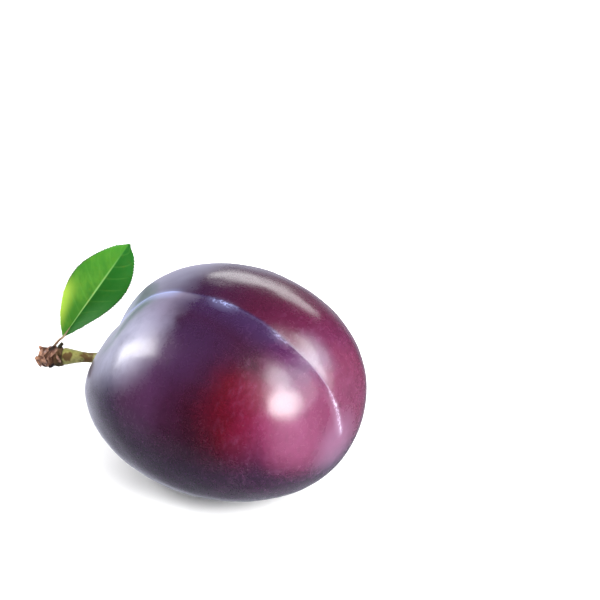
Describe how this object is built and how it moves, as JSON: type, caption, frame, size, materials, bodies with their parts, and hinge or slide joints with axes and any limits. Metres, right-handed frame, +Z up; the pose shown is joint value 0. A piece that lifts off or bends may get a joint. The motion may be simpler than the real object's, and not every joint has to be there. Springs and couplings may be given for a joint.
{
  "type": "purple plum with stalk and leaf",
  "caption": "Whole purple plum lying on its belly, with its short stalk, a woody spur knob with papery bud scales, and a young toothed leaf.",
  "frame": {"origin": "middle of the small flat spot on the belly that the fruit rests on", "axes": "+X from the stem end to the blossom end, +Z up, out of the surface that the fruit rests on"},
  "size_m": [0.0704, 0.0489, 0.0419],
  "materials": {
    "skin": "smooth waxy fruit skin, violet to crimson, with a pale powdery bloom",
    "stalk": "green woody stalk with brown corky patches",
    "spur_wood": "rough dark brown bark with a pale torn end",
    "bud_scale": "thin dry papery scale, pinkish brown",
    "leaf": "satin green leaf, paler veins, finely toothed edge"
  },
  "bodies": {
    "root": {"fruit": "skin", "fruit_stalk": "stalk", "spur": "spur_wood", "dry_stub": "spur_wood", "bud_scale_1": "bud_scale", "bud_scale_2": "bud_scale", "bud_scale_3": "bud_scale", "bud_scale_4": "bud_scale", "leaf": "leaf"}
  },
  "joints": []
}
